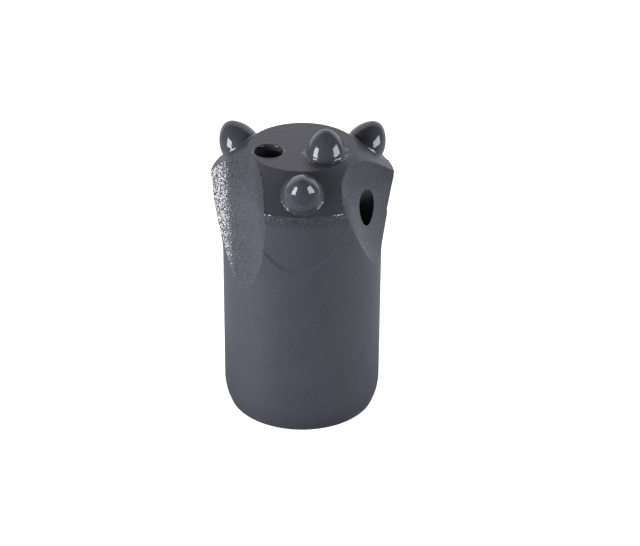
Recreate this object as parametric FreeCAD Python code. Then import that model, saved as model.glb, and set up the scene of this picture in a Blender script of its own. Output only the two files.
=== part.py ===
import FreeCAD
import Part
import math
import os

from FreeCAD import Vector

# Tapered button bit for hand-held and jack-leg rock drills.
# One turned and milled steel body with a tapered rod socket, and four carbide
# buttons pressed into it: one on the face and one on each gauge lobe.
# All lengths are in millimetres and all angles in degrees.
#
# Frame: the origin is the centre of the socket mouth, on the plane of the skirt end.
# +Z runs up the bit's axis to the cutting face.  Azimuths are measured about Z from
# -Y towards +X, so the first gauge lobe points to -Y.

# ---------------------------------------------------------------- body, turned form
body_length = 59.3
face_diameter = 22.4
gauge_diameter = 38.0
bevel_angle = 39.5           # slope of the gauge bevel below the plane of the face
gauge_land = 1.3             # short cylinder at full gauge below the bevel
relief_angle = 9.5           # back taper of the head, each side
relief_fillet = 23.0         # hollow where the back taper runs into the skirt
skirt_diameter = 33.2
skirt_round_height = 4.6     # rounded lead at the skirt end
skirt_round_inset = 1.15
face_edge_radius = 0.5
gauge_edge_radius = 0.2
skirt_edge_radius = 0.4

# ---------------------------------------------------------------- lobes and flutes
lobe_count = 3               # gauge lobes, with one flute between each two
first_lobe_azimuth = 0.0
flute_radius = 19.3          # radius of the cutter that mills a flute
flute_floor = 11.9           # from the milling centre to the flute's floor at the face
flute_offset = -1.4          # the floor's sideways place at the face
flute_lean = 22.0            # sideways lean of the flute, going down
flute_runout = 9.7           # outward slope that runs the flute out on the skirt
milling_offset = 0.57        # the flutes are milled about a centre this far off axis
milling_offset_azimuth = 131.0

# ---------------------------------------------------------------- gauge relief
# A shallow round-ended relief is milled into each lobe below the gauge.
relief_cutter_radius = 14.9  # of the sloping edge, measured level with the skirt
relief_cutter_rise = 1.3     # centre of the cutter above the gauge edge
relief_cutter_turn = -3.4    # and turned about the axis from the lobe's middle
relief_floor_angle = 11.9    # the floor falls in more steeply than the head's taper
relief_wall_angle = 13.0     # gentle slope that rings the relief

# ---------------------------------------------------------------- rod socket
socket_mouth_diameter = 22.8
socket_taper = 11.0          # included angle
socket_taper_length = 39.0
socket_mouth_chamfer = 0.6
socket_relief_diameter = 14.6
socket_relief_length = 4.5
socket_point_angle = 118.0   # drill point at the blind end

# ---------------------------------------------------------------- flushing holes
flush_diameter = 6.0
flush_rim = 0.2              # broken edge round the mouth on the face
face_hole_azimuth = -73.0
face_hole_radius = 7.2       # place of its mouth on the face
face_hole_tilt = 12.0        # leans in to the axis, going down
side_hole_azimuth = 69.4
side_hole_rise = 46.5        # climbs outward from the socket
side_hole_start = 10.5       # meets the bit's axis this far below the relief's end

# ---------------------------------------------------------------- buttons
button_diameter = 8.0
button_shank = 8.0
button_crown = 5.2           # height of the ballistic crown above the seat
button_tip_radius = 2.25
button_shoulder = 0.6        # the crown starts to narrow this far below the seat
button_chamfer = 0.7
press_gap = 0.0              # shank and pocket share one diameter once pressed
face_button_azimuth = 55.3
face_button_radius = 5.75
gauge_button_inset = 3.87    # seat centre, in from the gauge
gauge_button_tilt = 36.0

# ---------------------------------------------------------------- worked-out places
face_radius = face_diameter / 2
gauge_radius = gauge_diameter / 2
skirt_radius = skirt_diameter / 2
gauge_button_radius = gauge_radius - gauge_button_inset
socket_relief_radius = socket_relief_diameter / 2
bevel_drop = (gauge_radius - face_radius) * math.tan(math.radians(bevel_angle))
gauge_edge_height = body_length - bevel_drop
land_end_height = gauge_edge_height - gauge_land
relief_run = (gauge_radius - skirt_radius) / math.tan(math.radians(relief_angle))
relief_end_height = land_end_height - relief_run
socket_end_height = socket_taper_length + socket_relief_length
socket_end_radius = (
    socket_mouth_diameter / 2
    - socket_taper_length * math.tan(math.radians(socket_taper / 2))
)
socket_point_height = socket_relief_radius / math.tan(math.radians(socket_point_angle / 2))
pitch = 360.0 / lobe_count
beyond = body_length         # how far a cutter passes outside the metal


def polar(azimuth, radius, height):
    """Point at an azimuth, a distance from the axis and a height."""
    angle = math.radians(azimuth)
    return Vector(radius * math.sin(angle), -radius * math.cos(angle), height)


def outward(azimuth, rise):
    """Unit vector pointing out at an azimuth and up at an angle above the level."""
    level = math.cos(math.radians(rise))
    return polar(azimuth, level, math.sin(math.radians(rise)))


def turn(shape, azimuth):
    """Copy of a shape, turned about the bit's axis."""
    copy = shape.copy()
    copy.rotate(Vector(0, 0, 0), Vector(0, 0, 1), azimuth)
    return copy


def in_plane(radius, height):
    """Point of a turned profile, in the XZ half plane."""
    return Vector(radius, 0, height)


def toward(start, end, distance):
    """Point at a distance from start on the way to end."""
    step = end - start
    return start + step * (distance / step.Length)


def rounded_profile(corners):
    """Closed face from (point, corner radius) pairs; a radius of zero stays sharp."""
    edges = []
    count = len(corners)
    ends = []
    for index, (corner, radius) in enumerate(corners):
        before = corners[index - 1][0]
        after = corners[(index + 1) % count][0]
        if radius == 0:
            ends.append((corner, corner, None))
            continue
        turn_in = (before - corner).getAngle(after - corner)
        reach = radius / math.tan(turn_in / 2)
        first = toward(corner, before, reach)
        last = toward(corner, after, reach)
        middle = (first + last) / 2
        centre = toward(corner, middle, radius / math.sin(turn_in / 2))
        ends.append((first, last, toward(centre, corner, radius)))
    for index, (first, last, crest) in enumerate(ends):
        if crest is not None:
            edges.append(Part.Arc(first, crest, last).toShape())
        following = ends[(index + 1) % count][0]
        if (following - last).Length > 1e-6:
            edges.append(Part.makeLine(last, following))
    return Part.Face(Part.Wire(edges))


def revolve(face, seam_azimuth=180.0):
    """Full solid of revolution about the bit's axis, with its seam at an azimuth."""
    solid = face.revolve(Vector(0, 0, 0), Vector(0, 0, 1), 360)
    return turn(solid, seam_azimuth - 90)


def turned_blank():
    """The body as it leaves the lathe, before any milling or drilling."""
    round_top = in_plane(skirt_radius, skirt_round_height)
    round_end = in_plane(skirt_radius - skirt_round_inset, 0)
    bulge = skirt_round_inset / 4
    round_middle = (round_top + round_end) / 2 + Vector(bulge, 0, 0)
    corners = [
        (in_plane(0, 0), 0),
        (round_end, skirt_edge_radius),
        (round_middle, 2 * skirt_round_height),
        (round_top, skirt_round_height),
        (in_plane(skirt_radius, relief_end_height), relief_fillet),
        (in_plane(gauge_radius, land_end_height), gauge_land),
        (in_plane(gauge_radius, gauge_edge_height), gauge_edge_radius),
        (in_plane(face_radius, body_length), face_edge_radius),
        (in_plane(0, body_length), 0),
    ]
    return revolve(rounded_profile(corners))


def rod_socket():
    """Tapered socket with its short cylindrical relief and drill point."""
    mouth = socket_mouth_diameter / 2
    slope = math.tan(math.radians(socket_taper / 2))
    rim = socket_mouth_chamfer
    corners = [
        in_plane(0, -rim),
        in_plane(mouth + 2 * rim, -rim),
        in_plane(mouth + rim, 0),
        in_plane(mouth - rim * slope, rim),
        in_plane(socket_end_radius, socket_taper_length),
        in_plane(socket_relief_radius, socket_taper_length),
        in_plane(socket_relief_radius, socket_end_height),
        in_plane(0, socket_end_height + socket_point_height),
    ]
    clear_of_hole = side_hole_azimuth + 180
    return revolve(rounded_profile([(corner, 0) for corner in corners]), clear_of_hole)


def flute_cutter(azimuth):
    """Leaning cylinder that mills one flute from the face down to its run-out."""
    sideways = math.tan(math.radians(flute_lean))
    outwards = math.tan(math.radians(flute_runout))
    down = Vector(sideways, -outwards, -1)
    down.normalize()
    crossing = Vector(flute_offset, -(flute_floor + flute_radius), body_length)
    start = crossing - down * beyond
    cutter = turn(Part.makeCylinder(flute_radius, 3 * beyond, start, down), azimuth)
    cutter.translate(polar(milling_offset_azimuth, milling_offset, 0))
    return cutter


def relief_cutter(azimuth):
    """Cone-edged cutter, stopped by the floor of the gauge relief."""
    steep = math.radians(relief_floor_angle)
    axis = Vector(0, math.sin(steep), -math.cos(steep))
    square = Vector(0, -math.cos(steep), -math.sin(steep))
    hinge = polar(0, gauge_radius, land_end_height)
    middle = hinge - square * gauge_radius
    floor = Part.makeCylinder(gauge_radius, 4 * beyond, middle - axis * 2 * beyond, axis)
    widening = 1 / math.tan(math.radians(relief_wall_angle))
    point = skirt_radius - relief_cutter_radius / widening
    reach = gauge_radius + gauge_land - point
    cutter = Part.makeCone(
        0,
        reach * widening,
        reach,
        polar(0, point, gauge_edge_height + relief_cutter_rise),
        polar(0, 1, 0),
    )
    return turn(cutter.cut(floor), azimuth)


def face_hole_line():
    """Mouth of the face flushing hole and its direction, going down and inward."""
    mouth = polar(face_hole_azimuth, face_hole_radius, body_length)
    down = outward(face_hole_azimuth + 180, face_hole_tilt - 90)
    return mouth, down


def face_hole():
    """Flushing hole from the cutting face down into the blind end of the socket."""
    mouth, down = face_hole_line()
    lead = flush_diameter
    depth = (body_length - socket_end_height) / -down.z
    return Part.makeCylinder(flush_diameter / 2, lead + depth, mouth - down * lead, down)


def face_hole_rim():
    """Shallow countersink that breaks the edge of the face hole."""
    mouth = face_hole_line()[0]
    bore = flush_diameter / 2
    wide = bore + 2 * flush_rim
    narrow = bore - flush_rim
    return Part.makeCone(narrow, wide, 3 * flush_rim, mouth - Vector(0, 0, 2 * flush_rim))


def side_hole():
    """Flushing hole that climbs from the socket to the floor of a flute."""
    start = Vector(0, 0, socket_end_height - side_hole_start)
    rise = outward(side_hole_azimuth, side_hole_rise)
    return Part.makeCylinder(flush_diameter / 2, beyond, start, rise)


def button():
    """One ballistic button on the Z axis, with its seat circle at height zero."""
    radius = button_diameter / 2
    shoulder = -button_shoulder
    tip_centre = button_crown - button_tip_radius
    rise = tip_centre - shoulder
    ogive = (radius ** 2 + rise ** 2 - button_tip_radius ** 2) / (2 * (radius - button_tip_radius))
    ogive_centre = Vector(radius - ogive, 0, shoulder)
    sweep = math.atan2(rise, ogive - radius)

    def on_ogive(angle):
        return ogive_centre + Vector(ogive * math.cos(angle), 0, ogive * math.sin(angle))

    def on_tip(angle):
        return Vector(
            button_tip_radius * math.cos(angle),
            0,
            tip_centre + button_tip_radius * math.sin(angle),
        )

    blend = on_ogive(sweep)
    crown = in_plane(0, button_crown)
    base = -button_shank
    inner = radius - button_chamfer
    outline = [
        Part.makeLine(in_plane(0, base), in_plane(inner, base)),
        Part.makeLine(in_plane(inner, base), in_plane(radius, base + button_chamfer)),
        Part.makeLine(in_plane(radius, base + button_chamfer), in_plane(radius, shoulder)),
        Part.Arc(in_plane(radius, shoulder), on_ogive(sweep / 2), blend).toShape(),
        Part.Arc(blend, on_tip((sweep + math.pi / 2) / 2), crown).toShape(),
        Part.makeLine(crown, in_plane(0, base)),
    ]
    return revolve(Part.Face(Part.Wire(outline)))


def button_pocket():
    """Flat-bottomed pocket for one button, on the Z axis, open upwards."""
    return Part.makeCylinder(
        button_diameter / 2 + press_gap,
        button_shank + button_crown,
        Vector(0, 0, -button_shank),
        Vector(0, 0, 1),
    )


def on_face(shape):
    """Shape moved from the Z axis to the face button's seat."""
    copy = shape.copy()
    copy.translate(polar(face_button_azimuth, face_button_radius, body_length))
    return copy


def on_gauge(shape, azimuth):
    """Shape moved from the Z axis to a gauge button's seat on one lobe."""
    drop = (gauge_button_radius - face_radius) * math.tan(math.radians(bevel_angle))
    copy = shape.copy()
    copy.rotate(Vector(0, 0, 0), Vector(1, 0, 0), gauge_button_tilt)
    copy.translate(polar(0, gauge_button_radius, body_length - drop))
    return turn(copy, azimuth)


def lobe_azimuths():
    """Azimuths of the middles of the gauge lobes."""
    return [first_lobe_azimuth + pitch * index for index in range(lobe_count)]


def bit_body():
    """The steel body: turned, fluted, relieved, bored and pocketed."""
    body = turned_blank()
    for azimuth in lobe_azimuths():
        body = body.cut(relief_cutter(azimuth + relief_cutter_turn))
    for azimuth in lobe_azimuths():
        body = body.cut(flute_cutter(azimuth + pitch / 2))
    body = body.cut(rod_socket())
    body = body.cut(face_hole())
    body = body.cut(face_hole_rim())
    body = body.cut(side_hole())
    pocket = button_pocket()
    body = body.cut(on_face(pocket))
    for azimuth in lobe_azimuths():
        body = body.cut(on_gauge(pocket, azimuth))
    return body.Solids[0]


def gauge_button_names():
    """Node name of each gauge button, with its lobe's azimuth."""
    places = ["front", "rear_right", "rear_left"]
    names = {}
    for index, azimuth in enumerate(lobe_azimuths()):
        place = places[index] if index < len(places) else str(index + 1)
        names["gauge_button_" + place] = azimuth
    return names


def main():
    """Build each piece and write one STEP file for it."""
    os.makedirs("parts", exist_ok=True)
    pieces = {"bit_body": bit_body(), "face_button": on_face(button())}
    for name, azimuth in gauge_button_names().items():
        pieces[name] = on_gauge(button(), azimuth)
    for name, shape in pieces.items():
        shape.exportStep("parts/" + name + ".step")
        print(name, "volume", round(shape.Volume, 1), "valid", shape.isValid())


main()
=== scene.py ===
import math

import bmesh
import bpy
from mathutils import Matrix, Vector, noise
from mathutils.bvhtree import BVHTree


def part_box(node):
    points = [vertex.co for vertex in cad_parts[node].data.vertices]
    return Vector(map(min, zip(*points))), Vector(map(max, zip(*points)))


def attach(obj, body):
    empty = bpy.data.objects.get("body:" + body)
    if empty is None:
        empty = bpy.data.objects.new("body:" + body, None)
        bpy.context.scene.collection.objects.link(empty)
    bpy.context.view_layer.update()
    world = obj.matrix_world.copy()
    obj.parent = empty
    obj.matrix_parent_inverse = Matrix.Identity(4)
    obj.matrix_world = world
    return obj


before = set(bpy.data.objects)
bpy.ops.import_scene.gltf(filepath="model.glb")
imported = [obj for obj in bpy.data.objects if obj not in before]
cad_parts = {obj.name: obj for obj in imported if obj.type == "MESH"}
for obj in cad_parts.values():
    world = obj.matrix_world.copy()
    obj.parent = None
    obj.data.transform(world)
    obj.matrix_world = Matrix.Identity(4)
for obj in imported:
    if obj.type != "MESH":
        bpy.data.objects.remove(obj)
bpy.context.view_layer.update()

# A tapered button drill bit, painted dark grey, standing on its skirt end.
# Metres and degrees.  -Y is the side with the front gauge lobe.
MM = 0.001

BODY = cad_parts["bit_body"]
BUTTONS = [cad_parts[name] for name in sorted(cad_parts) if "button" in name]
BODY_LOW, BODY_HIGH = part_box("bit_body")
UPRIGHT = Vector((0, 0, 1))
FACE_LEVEL = Vector((0, 0, BODY_HIGH.z))

# The flutes, as they are milled in the body.
FLUTE_RADIUS = 19.3 * MM
FLUTE_FLOOR = 11.9 * MM
FLUTE_OFFSET = -1.4 * MM
FLUTE_LEAN = 22.0
FLUTE_RUNOUT = 9.7
MILLING_OFFSET = 0.57 * MM
MILLING_AZIMUTH = 131.0
FLUTES = (-60, 60, 180)

# Enamel gathers in a narrow rough band beside each flute, and is wet above its run-out.
EDGE_BURR = 0.25 * MM
WET_FROM = 22 * MM
WET_FULL = 34 * MM

# The face hole and the socket.
HOLE_RADIUS = 3.0 * MM
FACE_HOLE_AZIMUTH = -73.0
FACE_HOLE_RADIUS = 7.2 * MM
FACE_HOLE_TILT = 12.0
SOCKET_RADIUS = 11.45 * MM
OVERSPRAY_START = 4 * MM
OVERSPRAY_END = 9 * MM
OVERSPRAY_UNEVEN = 6 * MM
# How far down the face hole's wall the painted light reaches.
HOLE_PAINTED_LIGHT_DEPTH = 5 * MM

# The head: a flat face, and a bevel that falls from it to the gauge edge.
FACE_RADIUS = 11.2 * MM
GAUGE_RADIUS = 19.0 * MM
BEVEL_SLOPE = 39.5
BEVEL_FALL = math.tan(math.radians(BEVEL_SLOPE))
RIDGE_HEIGHT = BODY_HIGH.z - (GAUGE_RADIUS - FACE_RADIUS) * BEVEL_FALL

# The pressed buttons: tip up, the seat's circle at height zero.
BUTTON_RADIUS = 4.0 * MM
BUTTON_CROWN = 5.2 * MM
BUTTON_TIP = 2.25 * MM
BUTTON_SHOULDER = 0.6 * MM

# A gauge button's seat: distance from the axis, height, outward lean.
GAUGE_SEAT_RADIUS = 15.13 * MM
GAUGE_SEAT = (
    GAUGE_SEAT_RADIUS,
    BODY_HIGH.z - (GAUGE_SEAT_RADIUS - FACE_RADIUS) * BEVEL_FALL,
    36.0,
)
FACE_SEAT = (5.75 * MM, BODY_HIGH.z, 0.0)
# (button, azimuth of its seat, seat, fillet of enamel round it)
SEATS = (
    ("face_button", 55.3, FACE_SEAT, 0.7 * MM),
    ("gauge_button_front", 0.0, GAUGE_SEAT, 0.4 * MM),
    ("gauge_button_rear_right", 120.0, GAUGE_SEAT, 0.55 * MM),
    ("gauge_button_rear_left", 240.0, GAUGE_SEAT, 0.55 * MM),
)

# The enamel on a button: its thickness, and how its foot reaches out and sinks in.
COAT = 0.16 * MM
FOOT_REACH = 0.25 * MM
FOOT_SINK = 0.12 * MM
FOOT_LUMPS = 0.06 * MM
FOOT_BURR = 0.1 * MM
# The foot is uneven up to this many fillets above the seat.
FOOT_RISE = 1.4
# Just outside the pocket, where the seat's own surface is.
SEAT_MARGIN = 0.1 * MM
SEAT_PROBE = 3 * MM

# Specks in the enamel of the face. The two pinholes are near-black raised discs: painted shade
# standing in for the hollow of each pinhole.
# (name, azimuth, distance from the axis, size, colour)
SPECKS = (
    ("red_speck", -38.2, 10.13 * MM, 0.22 * MM, (0.3, 0.015, 0.012, 1)),
    ("dark_red_speck", 3.1, 7.89 * MM, 0.16 * MM, (0.08, 0.008, 0.012, 1)),
    ("pinhole_back_painted_shade", 89.1, 9.18 * MM, 0.17 * MM, (0.006, 0.006, 0.007, 1)),
    ("pinhole_front_painted_shade", 75.2, 9.45 * MM, 0.18 * MM, (0.006, 0.006, 0.007, 1)),
)

# The scuffed patch between the face button and the edge of the face.
SCUFF_AZIMUTH = 58.0
SCUFF_RADIUS = 9.9 * MM
SCUFF_SIZE = 2.6 * MM

# The lip that the enamel draws along the gauge edge, and round the face hole.
LIP_RADIUS = 0.6 * MM
LIP_COAT = 0.08 * MM
LIP_LUMPS = 0.14 * MM
LIP_LIFT = 25
LOBES = (0, 120, 240)
LOBE_HALF = 38.0
RIM_ROUND = 0.45 * MM
RIM_FLAT = 0.2 * MM
RIM_LUMPS = 0.05 * MM
RIM_WAVER = 0.015

# Lumps a metre in the textures of the enamel and of the steel under it.
BLAST_GRAIN = 2200
SAND_GRAIN = 3600
DUST_GRAIN = 2900
FLATS_GRAIN = 3100
SWELL = 700
CLOUDS = 120
STEEL_CLOUDS = 900
PEEL = 700
BUTTON_DUST = 2400
GRIT = 4000

# Heights of the textures.
DRY_RELIEF = 0.03 * MM
WET_RELIEF = 0.045 * MM
STEEL_RELIEF = 0.03 * MM
PEEL_RELIEF = 0.01 * MM
GRIT_RELIEF = 0.02 * MM

# Paint colours (grey, extra blue), refractive indices and the rough band under the ridge.
BODY_DARK = (0.033, 0.34)
BODY_LIGHT = (0.0585, 0.32)
BUTTON_DARK = (0.051, 0.3)
BUTTON_LIGHT = (0.056, 0.28)
STEEL_BARE = (0.032, 0.032, 0.034, 1)
# Painted light: the paler colour on the upper wall of the face hole, where light reaches into
# it.
HOLE_WALL_PAINTED_LIGHT = (0.15, 0.152, 0.17, 1)
ENAMEL_INDEX = 1.5
WET_INDEX = 1.6
BLAST_LOW = 3.2 * MM
BLAST_HIGH = 1.6 * MM

# Where the viewer stands.
VIEW_RISE = 29.8
VIEW_DISTANCE = 475 * MM
VIEW_HEIGHT = BODY_HIGH.z - 29.8 * MM
VIEW_ROLL = 0.17
LENS = 126.5625
SENSOR = 36.0
SIDE_SHIFT = 0.0279

# A white paper sweep: a short apron in front of the bit, a wall close behind it.
APRON_FRONT = -70 * MM
WALL_BACK = 205 * MM
SWEEP_HALF_WIDTH = 380 * MM
WALL_HEIGHT = 500 * MM
PAPER_GAP = 0.02 * MM
SWEEP_BEND = 60 * MM
APRON_GLOW = 0.5
WALL_GLOW = 1.15
GLOW_TINT = (0.98, 0.98, 1.07, 1)
PAPER_WHITE = 0.8
PAPER_LIFT = 0.8
BIT_SHADOW = 0.35
SHADOW_NEAR = 16 * MM
SHADOW_FAR = 50 * MM
ROOM_DIMNESS = 0.06
ROOM_MIRRORED = 0.15

# The softboxes as the gloss mirrors them, and the wide soft light they throw.
# (name, azimuth, distance, width, low edge, high edge, power in watts, mirrored)
LAMPS = (
    ("softbox_left", -61, 320 * MM, 150 * MM, 17 * MM, 210 * MM, 1.24, True),
    ("softbox_right", 68, 320 * MM, 233 * MM, 45 * MM, 215 * MM, 1.06, True),
    ("wash_left", -50, 340 * MM, 260 * MM, 40 * MM, 150 * MM, 1.7, False),
    ("wash_right", 85, 340 * MM, 220 * MM, 40 * MM, 130 * MM, 1.25, False),
)


def direction(azimuth, rise):
    """Unit vector at an azimuth from -Y towards +X, and a rise above the level."""
    turn = math.radians(azimuth)
    climb = math.radians(rise)
    level = math.cos(climb)
    return Vector((level * math.sin(turn), -level * math.cos(turn), math.sin(climb)))


# ------------------------------------------------------------------ viewer and light
def place_camera():
    """Long-lens view from the front, a little above."""
    data = bpy.data.cameras.new("viewer")
    data.sensor_width = SENSOR
    data.lens = LENS
    data.shift_x = SIDE_SHIFT
    data.clip_start = 0.01
    camera = bpy.data.objects.new("viewer", data)
    bpy.context.scene.collection.objects.link(camera)
    back = direction(0, VIEW_RISE)
    right = Vector((1, 0, 0))
    up = back.cross(right)
    frame_axes = Matrix((right, up, back)).transposed()
    roll = Matrix.Rotation(math.radians(VIEW_ROLL), 3, "Z")
    target = Vector((0, 0, VIEW_HEIGHT))
    camera.matrix_world = Matrix.LocRotScale(
        target + back * VIEW_DISTANCE, (frame_axes @ roll).to_quaternion(), None
    )
    bpy.context.scene.camera = camera


def place_lamp(name, azimuth, distance, width, low, high, power, mirrored):
    """Upright rectangular lamp that faces the bit."""
    data = bpy.data.lights.new(name, "AREA")
    data.shape = "RECTANGLE"
    data.size = width
    data.size_y = high - low
    data.energy = power
    lamp = bpy.data.objects.new(name, data)
    bpy.context.scene.collection.objects.link(lamp)
    out = direction(azimuth, 0)
    lamp.location = out * distance + Vector((0, 0, (low + high) / 2))
    lamp.rotation_euler = out.to_track_quat("Z", "Y").to_euler()
    lamp.visible_camera = False
    lamp.visible_glossy = mirrored
    lamp.visible_diffuse = not mirrored


# ------------------------------------------------------------------ shader arithmetic
class Wire:
    """A shader socket that takes part in Python arithmetic."""

    def __init__(self, recipe, socket):
        self.recipe = recipe
        self.socket = socket

    def maths(self, operation, first, second):
        return self.recipe.node(
            "ShaderNodeMath", {"operation": operation}, {0: first, 1: second}
        )

    def __add__(self, other):
        return self.maths("ADD", self, other)

    def __radd__(self, other):
        return self.maths("ADD", other, self)

    def __sub__(self, other):
        return self.maths("SUBTRACT", self, other)

    def __rsub__(self, other):
        return self.maths("SUBTRACT", other, self)

    def __mul__(self, other):
        return self.maths("MULTIPLY", self, other)

    def __rmul__(self, other):
        return self.maths("MULTIPLY", other, self)

    def larger(self, other):
        return self.maths("MAXIMUM", self, other)

    def step(self, low, high):
        """Smooth rise from 0 at low to 1 at high."""
        return self.recipe.node(
            "ShaderNodeMapRange",
            {"interpolation_type": "SMOOTHSTEP"},
            {"Value": self, "From Min": low, "From Max": high},
        )


class Recipe:
    """The node tree of one material or of the world."""

    def __init__(self, owner):
        owner.use_nodes = True
        self.tree = owner.node_tree
        self.tree.nodes.clear()

    def node(self, kind, settings, inputs, output=0):
        """A node of one kind, its settings first, then its sockets."""
        made = self.tree.nodes.new(kind)
        for name, value in settings.items():
            setattr(made, name, value)
        for key, value in inputs.items():
            if isinstance(value, Wire):
                self.tree.links.new(value.socket, made.inputs[key])
            else:
                made.inputs[key].default_value = value
        return Wire(self, made.outputs[output]) if made.outputs else None

    def noise(self, place, scale, detail):
        """Cloudy value around a half; scale is in lumps a metre."""
        return self.node(
            "ShaderNodeTexNoise", {}, {"Vector": place, "Scale": scale, "Detail": detail}
        )

    def bump(self, distance, height):
        """Normal of a surface raised by height times a distance."""
        return self.node("ShaderNodeBump", {}, {"Distance": distance, "Height": height})

    def place(self):
        """Place on a piece, in metres."""
        return self.node("ShaderNodeTexCoord", {}, {}, "Object")

    def coordinate(self, place, letter):
        """One coordinate of a place."""
        return self.node("ShaderNodeSeparateXYZ", {}, {0: place}, letter)

    def finish(self, surface):
        """Puts the finished surface out."""
        self.node("ShaderNodeOutputMaterial", {}, {"Surface": surface})

    def blend(self, factor, first, second):
        """First surface, giving way to the second as the factor rises to 1."""
        return self.node("ShaderNodeMixShader", {}, {0: factor, 1: first, 2: second})

    def mixed(self, factor, first, second):
        """Colour between two colours."""
        return self.node(
            "ShaderNodeMix",
            {"data_type": "RGBA", "clamp_factor": True},
            {0: factor, 6: first, 7: second},
            2,
        )


def shade(grey, blue=0.0):
    """Neutral paint colour with a little blue in it."""
    return (grey, grey * (1 + blue * 0.08), grey * (1 + blue), 1.0)


# ------------------------------------------------------------------ finishes
def flute_line(azimuth):
    """A point on the axis of the cutter that mills one flute, and its direction."""
    lean = math.tan(math.radians(FLUTE_LEAN))
    runout = math.tan(math.radians(FLUTE_RUNOUT))
    turn = Matrix.Rotation(math.radians(azimuth), 3, "Z")
    down = (turn @ Vector((lean, -runout, -1))).normalized()
    crossing = Vector((FLUTE_OFFSET, -(FLUTE_FLOOR + FLUTE_RADIUS), BODY_HIGH.z))
    return turn @ crossing + direction(MILLING_AZIMUTH, 0) * MILLING_OFFSET, down


def from_line(recipe, place, centre, along):
    """Distance of a place from the line through a centre."""
    arm = recipe.node("ShaderNodeVectorMath", {"operation": "SUBTRACT"}, {0: place, 1: centre})
    across = recipe.node(
        "ShaderNodeVectorMath", {"operation": "CROSS_PRODUCT"}, {0: arm, 1: along}
    )
    return recipe.node("ShaderNodeVectorMath", {"operation": "LENGTH"}, {0: across}, "Value")


def bored(recipe, place, centre, along, radius):
    """1 on the wall of a round cut about a line, 0 just outside it."""
    away = from_line(recipe, place, centre, along)
    return 1 - away.step(radius + 0.02 * MM, radius + 0.08 * MM)


def enamel(recipe, colour, bump, roughness, gloss):
    """One coat of the grey enamel; gloss is its refractive index."""
    return recipe.node(
        "ShaderNodeBsdfPrincipled",
        {},
        {"Base Color": colour, "Roughness": roughness, "Normal": bump, "IOR": gloss},
    )


def milled(recipe, place, margin):
    """1 on the floors of the flutes and as far as a margin outside them."""
    first, second, third = (
        bored(recipe, place, *flute_line(azimuth), FLUTE_RADIUS + margin) for azimuth in FLUTES
    )
    return first.larger(second).larger(third)


def bare_steel(recipe, place, painted_light_near_mouth):
    """Drilled and turned steel; painted light makes it paler near the top of the face hole,
    where light reaches the hole's upper wall.
    """
    cloud = recipe.noise(place, STEEL_CLOUDS, 3)
    colour = recipe.mixed(painted_light_near_mouth, STEEL_BARE, HOLE_WALL_PAINTED_LIGHT)
    relief = recipe.bump(STEEL_RELIEF, cloud)
    return enamel(recipe, colour, relief, 0.3 + 0.2 * cloud, ENAMEL_INDEX)


def unpainted(recipe, place, height, grain, below_ridge):
    """1 in the face hole and in the socket past its overspray, 0 on the painted outside."""
    face_hole = bored(
        recipe,
        place,
        direction(FACE_HOLE_AZIMUTH, 0) * FACE_HOLE_RADIUS + FACE_LEVEL,
        direction(FACE_HOLE_AZIMUTH + 180, FACE_HOLE_TILT - 90),
        HOLE_RADIUS,
    )
    socket = bored(recipe, place, Vector((0, 0, 0)), UPRIGHT, SOCKET_RADIUS)
    fading = (height + OVERSPRAY_UNEVEN * grain).step(OVERSPRAY_START, OVERSPRAY_END)
    return face_hole.larger(socket * fading * below_ridge)


def scuffed(recipe, place):
    """1 in the middle of the scuffed patch on the face, fading outwards."""
    middle = direction(SCUFF_AZIMUTH, 0) * SCUFF_RADIUS + FACE_LEVEL
    away = from_line(recipe, place, middle, UPRIGHT)
    return 1 - away.step(0.5 * SCUFF_SIZE, SCUFF_SIZE)


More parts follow.
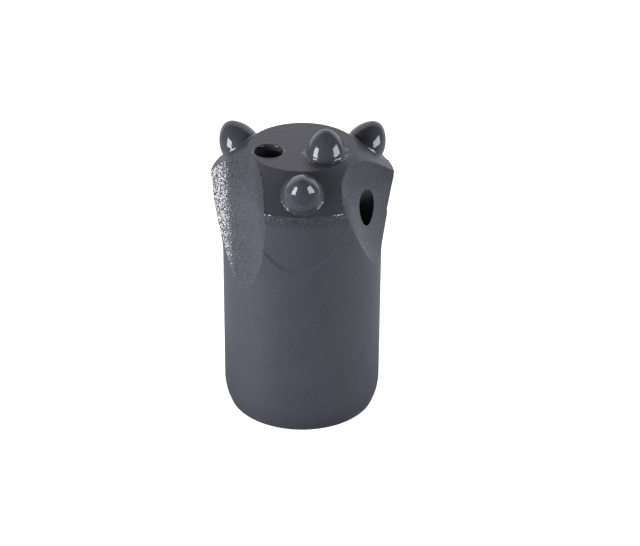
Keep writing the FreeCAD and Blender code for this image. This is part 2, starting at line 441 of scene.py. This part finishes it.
def body_paint():
    """Enamel over shot-blasted steel: wet gloss in the flutes, a drier coat elsewhere."""
    material = bpy.data.materials.new("body_enamel")
    recipe = Recipe(material)
    place = recipe.place()
    height = recipe.coordinate(place, "Z")

    # Where on the body: flutes and their edges, bevel, face, band under the ridge.
    flutes = milled(recipe, place, 0)
    above_ridge = height.step(RIDGE_HEIGHT - 0.15 * MM, RIDGE_HEIGHT + 0.05 * MM)
    below_ridge = 1 - above_ridge
    face = height.step(BODY_HIGH.z - 0.3 * MM, BODY_HIGH.z - 0.05 * MM)
    blasted = height.step(RIDGE_HEIGHT - BLAST_LOW, RIDGE_HEIGHT - BLAST_HIGH) * below_ridge
    edge = (milled(recipe, place, EDGE_BURR) - flutes) * above_ridge
    scuff = scuffed(recipe, place) * face

    # The textures.
    grain = recipe.noise(place, BLAST_GRAIN, 1)
    sand = recipe.noise(place, SAND_GRAIN, 1)
    swell = recipe.noise(place, SWELL, 1)
    clouds = recipe.noise(place, CLOUDS, 3)
    dust = recipe.noise(place, DUST_GRAIN, 0).step(0.72, 0.78) * (1 - face)
    flats = recipe.noise(place, FLATS_GRAIN, 1).step(0.46, 0.51)

    # The dry coat, and the wet one with its mirror-like flats between rough pits.
    coarse = 0.65 + 0.35 * face + 2 * blasted - 0.3 * above_ridge + 2.5 * scuff + 3 * edge
    grit = grain.step(0.3, 0.7) + sand * (0.5 + face)
    dry = recipe.bump(DRY_RELIEF, grit * coarse + dust * 0.18)
    wet = recipe.bump(WET_RELIEF, grain * 0.8 + swell * 0.4 + flats * 0.25)
    # Darker paint on the bevels and the face, and in grainy spots of the blasted band under
    # the ridge and of the burr band beside the flutes. Part of it is painted shade: the face
    # is darkened for the shade in its roughness, and the dark spots along the flute edges
    # stand in for the shade in their crevices.
    darker_tone_and_painted_shade = 0.75 * above_ridge + 0.3 * face + (blasted + edge) * grain.step(0.42, 0.6)
    lightness = clouds.step(0.35, 0.7) * 0.2 + grain.step(0.4, 0.7) * 0.3 - 0.9 * darker_tone_and_painted_shade + 0.65
    colour = recipe.mixed(lightness, shade(*BODY_DARK), shade(*BODY_LIGHT))
    painted = recipe.blend(
        flutes * height.step(WET_FROM, WET_FULL),
        enamel(recipe, colour, dry, 0.42 - 0.12 * dust - 0.2 * edge, ENAMEL_INDEX),
        enamel(recipe, colour, wet, 0.85 - 0.73 * flats, WET_INDEX),
    )

    bare = unpainted(recipe, place, height, grain, below_ridge)
    # Painted light on the face hole's wall: paler near its mouth, darker deeper down, where
    # less light reaches.
    painted_light_near_mouth = height.step(BODY_HIGH.z - HOLE_PAINTED_LIGHT_DEPTH, BODY_HIGH.z)
    recipe.finish(recipe.blend(bare, painted, bare_steel(recipe, place, painted_light_near_mouth)))
    return material


def button_paint():
    """The same enamel on ground carbide: smooth, with a light orange peel."""
    material = bpy.data.materials.new("button_enamel")
    recipe = Recipe(material)
    place = recipe.place()
    peel = recipe.noise(place, PEEL, 1)
    dust = recipe.noise(place, BUTTON_DUST, 0)
    relief = recipe.bump(PEEL_RELIEF, peel + dust.step(0.72, 0.8) * 0.6)
    colour = recipe.mixed(peel.step(0.3, 0.7), shade(*BUTTON_DARK), shade(*BUTTON_LIGHT))
    recipe.finish(enamel(recipe, colour, relief, 0.04, ENAMEL_INDEX))
    return material


def speck_finish(name, colour):
    """Dull grit of one colour, paler on one side."""
    material = bpy.data.materials.new(name)
    recipe = Recipe(material)
    uneven = recipe.noise(recipe.place(), GRIT, 1)
    paler = tuple(min(1.0, 2 * value) for value in colour)
    tint = recipe.mixed(uneven.step(0.45, 0.6), colour, paler)
    relief = recipe.bump(GRIT_RELIEF, uneven)
    recipe.finish(enamel(recipe, tint, relief, 0.5, ENAMEL_INDEX))
    return material


# ------------------------------------------------------------------ pieces of enamel
def settle(made, name, finish):
    """Turns a finished mesh into a piece that rides with the bit."""
    bmesh.ops.recalc_face_normals(made, faces=made.faces)
    mesh = bpy.data.meshes.new(name)
    made.to_mesh(mesh)
    made.free()
    mesh.shade_smooth()
    piece = bpy.data.objects.new(name, mesh)
    bpy.context.scene.collection.objects.link(piece)
    mesh.materials.append(finish)
    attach(piece, "root")


def seat_axes(azimuth, radius, height, lean):
    """Places a button's own axes on its seat."""
    return (
        Matrix.Rotation(math.radians(azimuth), 4, "Z")
        @ Matrix.Translation((0, -radius, height))
        @ Matrix.Rotation(math.radians(lean), 4, "X")
    )


def turned(made, turn, steps, merge):
    """Turns the outline about the Z axis."""
    bmesh.ops.spin(
        made,
        geom=made.edges[:],
        cent=(0, 0, 0),
        axis=(0, 0, 1),
        angle=turn,
        steps=steps,
        use_merge=merge,
    )


def drawn_out(made, vert, step):
    """Carries a straight run on from a vertex; gives its end."""
    end = bmesh.ops.extrude_vert_indiv(made, verts=[vert])["verts"][0]
    end.co += Vector(step)
    return end


def swing(made, vert, centre, angle, steps):
    """Carries an arc on from a vertex, about a centre in the XZ plane; gives its end."""
    arc = bmesh.ops.spin(
        made,
        geom=[vert],
        cent=(centre[0], 0, centre[1]),
        axis=(0, 1, 0),
        angle=angle,
        steps=steps,
    )
    return next(item for item in arc["geom_last"] if isinstance(item, bmesh.types.BMVert))


def coat_outline(made, fillet):
    """Half outline of the enamel on a button, from its tip to the foot of the fillet."""
    tip_centre = BUTTON_CROWN - BUTTON_TIP
    rise = tip_centre + BUTTON_SHOULDER
    ogive = (BUTTON_RADIUS ** 2 + rise ** 2 - BUTTON_TIP ** 2) / (
        2 * (BUTTON_RADIUS - BUTTON_TIP)
    )
    blend = math.atan2(rise, ogive - BUTTON_RADIUS)
    foot = math.asin((BUTTON_SHOULDER + fillet) / (ogive + COAT))
    tip = made.verts.new((0, 0, BUTTON_CROWN + COAT))
    shoulder = swing(made, tip, (0, tip_centre), math.pi / 2 - blend, 8)
    ogive_centre = (BUTTON_RADIUS - ogive, -BUTTON_SHOULDER)
    waist = swing(made, shoulder, ogive_centre, blend - foot, 14)
    rim = swing(made, waist, (waist.co.x + fillet, waist.co.z), -math.pi / 2, 8)
    drawn_out(made, rim, (FOOT_REACH, 0, -FOOT_SINK))


def coat_button(name, azimuth, seat, fillet, steel, finish):
    """Enamel over one button, run down into an uneven fillet on the steel round it."""
    axes = seat_axes(azimuth, *seat)
    back = axes.inverted()
    into = -(axes.to_3x3() @ UPRIGHT)
    made = bmesh.new()
    coat_outline(made, fillet)
    turned(made, math.tau, 240, True)
    bmesh.ops.remove_doubles(made, verts=made.verts, dist=0.001 * MM)
    for vert in made.verts:
        low = min(1.0, max(0.0, FOOT_RISE - vert.co.z / fillet))
        if low == 0:
            continue
        out = Vector((vert.co.x, vert.co.y, 0)).normalized()
        beyond = max(0.0, out.dot(vert.co) - BUTTON_RADIUS - COAT)
        outer = 0.65 - 0.35 * out.y
        place = axes @ vert.co
        lumps = noise.noise(place * 800) + 0.6 * noise.noise(place * 2300)
        burr = noise.noise(place * 4200) * min(1.0, beyond / fillet)
        vert.co += out * beyond * lumps * outer
        vert.co.z += low * lumps * FOOT_LUMPS + burr * outer * FOOT_BURR
        reach = max(out.dot(vert.co), BUTTON_RADIUS + SEAT_MARGIN)
        above = axes @ (out * reach + UPRIGHT * SEAT_PROBE)
        met = steel.ray_cast(above, into)[0]
        if met is not None:
            vert.co.z += low * (back @ met).z
    bmesh.ops.transform(made, matrix=axes, verts=made.verts)
    settle(made, name, finish)


def bead_ridge(name, azimuth, finish):
    """Lip of enamel along the sharp edge between a lobe's bevel and its side."""
    half_turn = math.radians(90 - BEVEL_SLOPE) / 2
    to_corner = LIP_RADIUS / math.cos(half_turn)
    crest = direction(90, math.degrees(half_turn))
    corner = Vector((GAUGE_RADIUS, 0, RIDGE_HEIGHT)) + crest * LIP_COAT
    centre = corner - crest * to_corner
    made = bmesh.new()
    start = made.verts.new(centre + direction(90, 90 - BEVEL_SLOPE) * LIP_RADIUS)
    end = swing(made, start, (centre.x, centre.z), 2 * half_turn, 6)
    for rim in (start, end):
        drawn_out(made, rim, crest * -4 * LIP_COAT)
    turned(made, math.radians(2 * LOBE_HALF), 240, False)
    turn = Matrix.Rotation(math.radians(azimuth - 90 - LOBE_HALF), 4, "Z")
    bmesh.ops.transform(made, matrix=turn, verts=made.verts)
    for vert in made.verts:
        lumps = noise.noise(vert.co * 700) + 0.5 * noise.noise(vert.co * 1700)
        vert.co += direction(azimuth, LIP_LIFT) * lumps * LIP_LUMPS
    cutters = [flute_line(flute) for flute in FLUTES]
    cut_away = [
        face
        for face in made.faces
        if any(
            (face.calc_center_median() - middle).cross(down).length < FLUTE_RADIUS
            for middle, down in cutters
        )
    ]
    bmesh.ops.delete(made, geom=cut_away, context="FACES")
    settle(made, name, finish)


def round_hole_rim(finish):
    """Drawn-in lip of enamel round the mouth of the face hole."""
    made = bmesh.new()
    centre = (HOLE_RADIUS + RIM_ROUND - LIP_COAT, LIP_COAT - RIM_ROUND)
    start = made.verts.new((centre[0] + RIM_FLAT, 0, centre[1] + RIM_ROUND - 1.5 * LIP_COAT))
    crest = drawn_out(made, start, (-RIM_FLAT, 0, 1.5 * LIP_COAT))
    inner = swing(made, crest, centre, -math.pi / 2, 7)
    drawn_out(made, inner, (1.2 * LIP_COAT, 0, -RIM_ROUND))
    turned(made, math.tau, 120, True)
    mouth = direction(FACE_HOLE_AZIMUTH, 0) * FACE_HOLE_RADIUS + FACE_LEVEL
    for vert in made.verts:
        lumps = noise.noise((vert.co + mouth) * 900)
        vert.co.z += lumps * RIM_LUMPS
        vert.co.xy *= 1 + RIM_WAVER * lumps
    bmesh.ops.translate(made, verts=made.verts, vec=mouth)
    settle(made, "hole_rim_lip", finish)


def drop_speck(name, azimuth, radius, size, colour):
    """Small flat grain caught in the enamel of the face; a near-black one is painted shade for
    a pinhole.
    """
    made = bmesh.new()
    bmesh.ops.create_icosphere(made, subdivisions=2, radius=size)
    bmesh.ops.scale(made, vec=(1, 1, 0.3), verts=made.verts)
    middle = direction(azimuth, 0) * radius + FACE_LEVEL
    bmesh.ops.translate(made, verts=made.verts, vec=middle)
    settle(made, name, speck_finish(name, colour))


def paint(piece, material):
    """Give every slot of a piece one finish."""
    piece.data.materials.clear()
    piece.data.materials.append(material)
    for face in piece.data.polygons:
        face.material_index = 0


# ------------------------------------------------------------------ studio
def light_world():
    """White to the eye, a dim room in the light it gives."""
    world = bpy.data.worlds.new("studio")
    bpy.context.scene.world = world
    recipe = Recipe(world)
    looked_at = recipe.node("ShaderNodeLightPath", {}, {}, "Is Camera Ray")
    mirrored = recipe.node("ShaderNodeLightPath", {}, {}, "Is Glossy Ray")
    strength = looked_at.larger(mirrored * ROOM_MIRRORED).larger(ROOM_DIMNESS)
    background = recipe.node(
        "ShaderNodeBackground", {}, {"Color": (1, 1, 1, 1), "Strength": strength}
    )
    recipe.node("ShaderNodeOutputWorld", {}, {"Surface": background})


def sweep_paper():
    """White paper, dimmer close to the bit, and seen from its white side only."""
    material = bpy.data.materials.new("sweep_paper")
    recipe = Recipe(material)
    place = recipe.place()
    rise = recipe.coordinate(place, "Z")
    reach = recipe.node("ShaderNodeVectorMath", {"operation": "LENGTH"}, {0: place}, "Value")
    looked_at = recipe.node("ShaderNodeLightPath", {}, {}, "Is Camera Ray")
    behind = recipe.node("ShaderNodeNewGeometry", {}, {}, "Backfacing")

    # What the paper throws, as a share of what the wall throws.
    open_light = BIT_SHADOW + (1 - BIT_SHADOW) * reach.step(SHADOW_NEAR, SHADOW_FAR)
    apron = APRON_GLOW / WALL_GLOW
    thrown = apron * open_light + (1 - apron) * rise.step(0.1 * SWEEP_BEND, SWEEP_BEND)
    wall_light = tuple(WALL_GLOW * value for value in GLOW_TINT[:3]) + (1,)
    light = recipe.mixed(thrown, (0, 0, 0, 1), wall_light)
    glow = recipe.node("ShaderNodeEmission", {}, {"Color": light})

    white = (PAPER_WHITE, PAPER_WHITE, PAPER_WHITE, 1)
    paper = recipe.node("ShaderNodeBsdfDiffuse", {}, {"Color": white})
    lift = recipe.node("ShaderNodeEmission", {}, {"Strength": PAPER_LIFT})
    seen = recipe.node("ShaderNodeAddShader", {}, {0: paper, 1: lift})
    clear = recipe.node("ShaderNodeBsdfTransparent", {}, {})
    recipe.finish(recipe.blend(behind, recipe.blend(looked_at, glow, seen), clear))
    return material


def lay_sweep():
    """Paper under the bit, bent up into a wall behind it."""
    made = bmesh.new()
    level = BODY_LOW.z - PAPER_GAP
    start = made.verts.new((0, APRON_FRONT, level))
    run = drawn_out(made, start, (0, WALL_BACK - SWEEP_BEND - APRON_FRONT, 0))
    bend = bmesh.ops.spin(
        made,
        geom=[run],
        cent=(0, WALL_BACK - SWEEP_BEND, level + SWEEP_BEND),
        axis=(1, 0, 0),
        angle=math.radians(90),
        steps=12,
    )
    top = next(item for item in bend["geom_last"] if isinstance(item, bmesh.types.BMVert))
    drawn_out(made, top, (0, 0, WALL_HEIGHT - SWEEP_BEND))
    profile = made.edges[:]
    bmesh.ops.translate(made, verts=made.verts, vec=(-SWEEP_HALF_WIDTH, 0, 0))
    side = bmesh.ops.extrude_edge_only(made, edges=profile)["geom"]
    far = [item for item in side if isinstance(item, bmesh.types.BMVert)]
    bmesh.ops.translate(made, verts=far, vec=(2 * SWEEP_HALF_WIDTH, 0, 0))
    made.normal_update()
    if min(face.normal.z for face in made.faces) < -0.5:
        bmesh.ops.reverse_faces(made, faces=made.faces)
    mesh = bpy.data.meshes.new("sweep")
    made.to_mesh(mesh)
    made.free()
    mesh.shade_smooth()
    sweep = bpy.data.objects.new("sweep", mesh)
    bpy.context.scene.collection.objects.link(sweep)
    sweep.data.materials.append(sweep_paper())


def main():
    """Dress the bit and set it in its studio."""
    place_camera()
    for lamp in LAMPS:
        place_lamp(*lamp)
    light_world()
    lay_sweep()
    paint(BODY, body_paint())
    finish = button_paint()
    for button in BUTTONS:
        paint(button, finish)
    steel = BVHTree.FromObject(BODY, bpy.context.evaluated_depsgraph_get())
    for name, azimuth, seat, fillet in SEATS:
        coat_button(name + "_coat", azimuth, seat, fillet, steel, finish)
    for azimuth in LOBES:
        bead_ridge(f"ridge_lip_{azimuth}", azimuth, finish)
    round_hole_rim(finish)
    for speck in SPECKS:
        drop_speck(*speck)
    bpy.context.scene.view_settings.view_transform = "Standard"


main()
